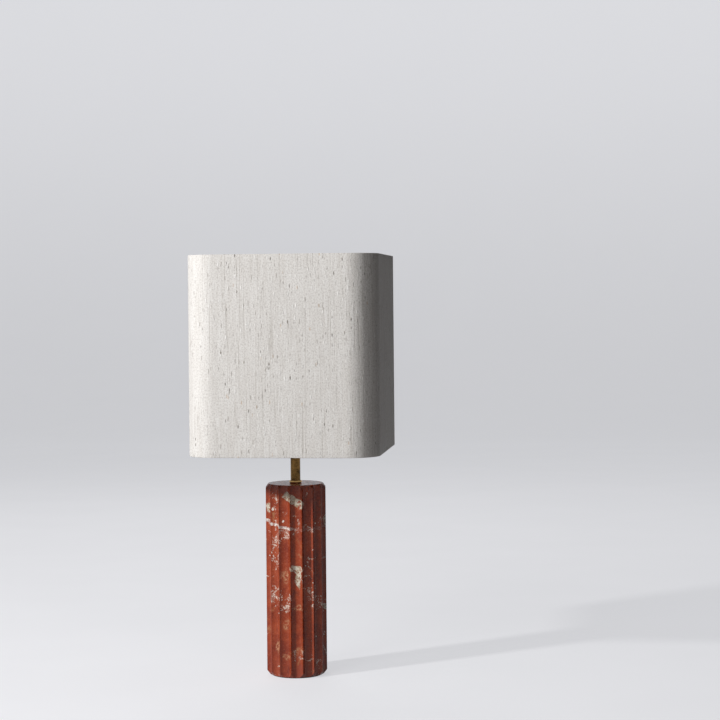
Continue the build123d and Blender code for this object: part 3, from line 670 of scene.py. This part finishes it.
def shade_silk():
    """The silk as one strip round the shade: its section goes over the top roll, down
    the face and round the bottom roll. A point is the outline's place, moved in by the
    section's inset and out by the bow, side_bow times sin(pi height) times 1 at the
    middle of a side and 0 at its ends. The end of the strip laps over its start at the
    back, lifted by lap_lift along the section's normal, and the tucked edge is snipped
    round each arm of the carrier."""
    edge_inset, edge_depth = rolled_edge()
    share = np.linspace(0, 1, face_steps + 1)[1:-1]
    face = (shade_top - cover) * (1 - share) + (shade_foot + cover) * share
    inset = np.concatenate([edge_inset, np.zeros(len(face)), edge_inset[::-1]])
    height = np.concatenate([shade_top - edge_depth, face, shade_foot + edge_depth[::-1]])
    run = np.concatenate([[0], np.cumsum(np.hypot(np.diff(inset), np.diff(height)))])
    tangent = np.stack([np.gradient(inset, run), np.gradient(height, run)], axis=-1)
    tangent /= np.linalg.norm(tangent, axis=-1, keepdims=True)

    step = quarter / steps_in_quarter
    distance = np.arange(4 * steps_in_quarter + lap_steps + 1) * step
    place, normal, middle = shade_outline(distance)
    lifting = np.clip((distance - 4 * quarter) / (2 * step) + 1, 0, 1)
    lift = lap_lift * lifting * lifting * (3 - 2 * lifting)

    up = (height - shade_foot) / (shade_top - shade_foot)
    on_face = (inset == 0) * np.sin(np.pi * np.clip(up, 0, 1))
    inward = inset[:, None] - side_bow * on_face[:, None] * middle[None, :]
    inward = inward + tangent[:, 1:] * lift[None, :]
    points = np.empty((len(inset), len(distance), 3))
    points[..., :2] = place[None] - inward[..., None] * normal[None]
    points[..., 2] = height[:, None] - tangent[:, :1] * lift[None, :]

    flat = np.empty((len(inset), len(distance), 2))
    flat[..., 0] = distance[None, :]
    flat[..., 1] = run[::-1, None]

    snipped = np.arange(len(inset) - 1) >= len(inset) - 1 - snipped_rows
    columns = np.arange(len(distance) - 1) % steps_in_quarter
    at_arm = (columns == 0) | (columns == steps_in_quarter - 1)
    keep = ~(snipped[:, None] & at_arm[None, :])
    piece = sheet_mesh("shade_silk", points, keep=keep, flat=flat, crease=50)
    thicken(piece, silk_thickness)
    stand_for(piece, "shade_fabric", "shade_silk")
    return piece


shade_silk()


# ---------------------------------------------------------------- the felt pad


def felt_disc():
    """Felt disc: rows run from the centre of the top over a half-round edge to the
    centre of the foot, (r cos a, r sin a, z). The cut edge wavers by waver times a sum of
    sines of the angle a, and the upper face is lowered by nap times a sine of a and r."""
    top, radius = level("felt_pad", 1), reach("felt_pad")
    half = top / 2
    waver = 0.25 * MM
    nap = 0.05 * MM
    bend = np.linspace(0, np.pi, 9)
    middle = np.linspace(0, 1, 14)[:-1] * (radius - half)
    ring = np.concatenate([middle, radius - half + half * np.sin(bend), middle[::-1]])
    height = np.concatenate(
        [np.full(len(middle), top), half + half * np.cos(bend), np.zeros(len(middle))]
    )
    angle = np.linspace(0, 2 * np.pi, 160, endpoint=False)
    cut = waver * (1 + np.sin(7 * angle + 1) * 0.5 + np.sin(13 * angle) * 0.3 - 0.8) / 2
    rough = nap * np.sin(37 * angle[None, :] + 900 * ring[:, None]) * (ring[:, None] > 0)
    reach_here = ring[:, None] - (ring[:, None] / radius) * np.abs(cut)[None, :]
    points = np.empty((len(ring), len(angle), 3))
    points[..., 0] = reach_here * np.cos(angle)
    points[..., 1] = reach_here * np.sin(angle)
    points[..., 2] = np.clip(height[:, None] - np.abs(rough) * (height[:, None] > half), 0, top)
    piece = weld(sheet_mesh("felt_disc", points, closed=True, crease=60))
    stand_for(piece, "felt_pad", "felt")
    return piece


felt_disc()


# ------------------------------------------------------------------ the threads

# Pitch and depth of each thread, and the spacing of the points along its section.
ring_thread = (2.0 * MM, 0.55 * MM, 0.25 * MM)
bulb_thread = (3.629 * MM, 0.95 * MM, 0.3 * MM)


def turning(name, outline, walls, pitch, depth, spacing, columns=72):
    """Round piece from an outline of radius and level, which runs down the outside and up
    the inside: (r cos a, r sin a, z). On the walls, each a radius with the levels of a
    thread, r is less by depth (1 - cos 2 pi (z / pitch - a / 2 pi)) / 2, which fades in
    and out over half a pitch."""
    corners = np.array([*outline, outline[0]])
    runs = []
    for start, end in zip(corners[:-1], corners[1:]):
        count = max(1, math.ceil(np.linalg.norm(end - start) / spacing))
        count = count if abs(start[0] - end[0]) < 1e-9 else 1
        runs.append(start + (end - start) * (np.arange(count) / count)[:, None])
    section = np.concatenate([*runs, corners[-1:]])
    radius, height = section[:, :1], section[:, 1:]
    angle = np.linspace(0, 2 * np.pi, columns, endpoint=False)[None, :]
    wave = (1 - np.cos(2 * np.pi * height / pitch - angle)) / 2
    shown = np.zeros_like(radius)
    for wall, low, high in walls:
        fade = np.clip(np.minimum(height - low, high - height) / (pitch / 2), 0, 1)
        shown = np.where(np.abs(radius - wall) < 1e-6, fade, shown)
    cut = radius - depth * wave * shown
    points = np.stack([cut * np.cos(angle), cut * np.sin(angle), height + 0 * angle], axis=-1)
    return weld(sheet_mesh(name, points, closed=True))


def sleeve_with_thread():
    """Lampholder sleeve: skirt, flange, and the outer thread that the shade rings run on."""
    foot, top = level("holder_sleeve", 0), level("holder_sleeve", 1)
    flange_foot, ledge_top = level("holder_cap", 1), level("holder_core", 0)
    flange_radius, skirt_radius = reach("holder_sleeve"), reach("holder_sleeve") - 1.25 * MM
    thread_radius, flange_height = 19.5 * MM, 2.0 * MM
    bore, ledge_radius = reach("holder_core") + 0.05 * MM, reach("holder_core") - 1.75 * MM
    outline = [
        (bore, top),
        (thread_radius, top),
        (thread_radius, flange_foot + flange_height),
        (flange_radius, flange_foot + flange_height),
        (flange_radius, flange_foot),
        (skirt_radius, flange_foot),
        (skirt_radius, foot),
        (ledge_radius, foot),
        (ledge_radius, ledge_top),
        (bore, ledge_top),
    ]
    wall = (thread_radius, flange_foot + flange_height, top)
    piece = turning("sleeve_thread", outline, [wall], *ring_thread, columns=96)
    return stand_for(piece, "holder_sleeve", "aged_brass")


def bulb_cap_with_thread():
    """Screw cap of the bulb: cone, round thread below the glass, and a plain skirt."""
    foot, top = level("bulb_cap", 0), level("bulb_cap", 1)
    outer, wall, mouth, cone = reach("bulb_cap"), 0.5 * MM, 6.5 * MM, 3.0 * MM
    outline = [
        (outer - wall, top),
        (outer, top),
        (outer, foot + cone),
        (mouth, foot),
        (mouth, foot + wall),
        (outer - wall, foot + cone + wall),
    ]
    low, high = foot + cone, level("bulb_glass", 0)
    walls = [(outer, low, high), (outer - wall, low, high)]
    piece = turning("bulb_cap_thread", outline, walls, *bulb_thread)
    return stand_for(piece, "bulb_cap", "bulb_metal")


def shell_with_thread():
    """Screw shell that the bulb's thread runs in, plain at its foot and mouth."""
    foot, top = level("screw_shell", 0), level("screw_shell", 1)
    outer, wall, plain_foot = reach("screw_shell"), 0.6 * MM, 6.0 * MM
    outline = [(outer - wall, top), (outer, top), (outer, foot), (outer - wall, foot)]
    low, high = foot + plain_foot, level("bulb_glass", 0)
    walls = [(outer, low, high), (outer - wall, low, high)]
    piece = turning("shell_thread", outline, walls, *bulb_thread)
    return stand_for(piece, "screw_shell", "brass")


sleeve_with_thread()
bulb_cap_with_thread()
shell_with_thread()


# ------------------------------------------------------------------- the studio

background = tint(214, 215, 219)
# Each lamp's name, azimuth, elevation, distance, size, power and colour.
studio_lamps = (
    ("key", -50.5, 23.5, 3.2, 0.2, 82, (1.0, 0.99, 0.98)),
    ("soft_fill", -24, 32, 3.6, 1.4, 29, (1.0, 0.988, 0.975)),
    ("back_soft", -165, 38, 3.0, 1.5, 16, (1.0, 0.99, 0.98)),
)


def studio_surface():
    """Grey floor that sweeps up into a wall behind: level to the bend, a quarter circle,
    and straight up. To the camera, glass and polished faces it also glows in the
    background's colour, a little more towards the top."""
    half_width, front, back, bend, height = 8.0, -8.0, 6.5, 1.8, 7.0
    angle = np.linspace(0, np.pi / 2, 24)
    depth = np.concatenate([[front], back - bend + bend * np.sin(angle), [back]])
    rise = np.concatenate([[0], bend * (1 - np.cos(angle)), [height]])
    side = np.array([-half_width, half_width])
    points = np.empty((len(depth), 2, 3))
    points[..., 0] = side[None, :]
    points[..., 1] = depth[:, None]
    points[..., 2] = rise[:, None]
    floor = sheet_mesh("studio_floor", points[:, ::-1], crease=80)
    paint = Finish("studio_paint", Roughness=0.9)
    mottle = paint.noise(3, 2)
    paint.colour(paint.mix(paint.rise(mottle, 0.3, 0.7), tint(152, 152, 154), tint(156, 156, 158)))
    path = paint.node("LightPath", {})
    seen = paint.either(path.outputs["Is Camera Ray"], path.outputs["Is Glossy Ray"])
    seen = paint.either(seen, path.outputs["Is Transmission Ray"])
    paint.shader.inputs["Emission Color"].default_value = background
    above = paint.rise(paint.beyond((0, 0, 1), 0.0, paint.place), 0.0, 2.4, (0.8, 0.98))
    paint.tree.links.new(paint.both(seen, above), paint.shader.inputs["Emission Strength"])
    floor.data.materials.append(paint.material)


def studio_lamp(name, azimuth, elevation, distance, size, power, colour):
    """Square soft light that faces the lamp's middle. The azimuth is from the front (-Y)
    towards the right (+X) and the elevation from level, in degrees."""
    light = bpy.data.lights.new(name, "AREA")
    light.size = size
    light.energy = power
    light.color = colour
    body = bpy.data.objects.new(name, light)
    around, up = math.radians(azimuth), math.radians(elevation)
    level_way = (math.sin(around) * math.cos(up), -math.cos(around) * math.cos(up))
    way = Vector((*level_way, math.sin(up)))
    middle = Vector((0, 0, 0.4))
    body.location = middle + way * distance
    body.rotation_euler = way.to_track_quat("Z", "Y").to_euler()
    bpy.context.scene.collection.objects.link(body)


def studio_sky():
    """Faint warm light from all round, and the pale background to the camera, glass and
    polished faces."""
    world = bpy.data.worlds.new("studio")
    bpy.context.scene.world = world
    world.use_nodes = True
    tree = world.node_tree
    tree.nodes.clear()
    seen = tree.nodes.new("ShaderNodeBackground")
    seen.inputs["Color"].default_value = background
    fill = tree.nodes.new("ShaderNodeBackground")
    fill.inputs["Color"].default_value = tint(255, 230, 204)
    fill.inputs["Strength"].default_value = 0.022
    path = tree.nodes.new("ShaderNodeLightPath")
    choose = tree.nodes.new("ShaderNodeMixShader")
    shown = path.outputs["Is Camera Ray"]
    for ray in ("Is Glossy Ray", "Is Transmission Ray"):
        either = tree.nodes.new("ShaderNodeMath")
        either.operation = "MAXIMUM"
        tree.links.new(shown, either.inputs[0])
        tree.links.new(path.outputs[ray], either.inputs[1])
        shown = either.outputs[0]
    tree.links.new(shown, choose.inputs[0])
    tree.links.new(fill.outputs[0], choose.inputs[1])
    tree.links.new(seen.outputs[0], choose.inputs[2])
    output = tree.nodes.new("ShaderNodeOutputWorld")
    tree.links.new(choose.outputs[0], output.inputs["Surface"])


def camera():
    """Camera at the photograph's place: level, rolled a little, with the horizon raised
    by the shift."""
    lens = bpy.data.cameras.new("camera")
    lens.sensor_width = 36.0
    lens.lens = 92.2
    lens.shift_x = 0.001
    lens.shift_y = -0.0873
    body = bpy.data.objects.new("camera", lens)
    place = Vector((0.4751, -3.0021, 0.6183))
    back = Vector((0.1212, -0.9926, 0.0)).normalized()
    upright = back.to_track_quat("Z", "Y").to_matrix().to_4x4()
    roll = Matrix.Rotation(math.radians(-0.53), 4, "Z")
    body.matrix_world = Matrix.Translation(place) @ upright @ roll
    bpy.context.scene.collection.objects.link(body)
    bpy.context.scene.camera = body


studio_surface()
studio_sky()
for lamp in studio_lamps:
    studio_lamp(*lamp)
camera()
bpy.context.scene.view_settings.view_transform = "Standard"
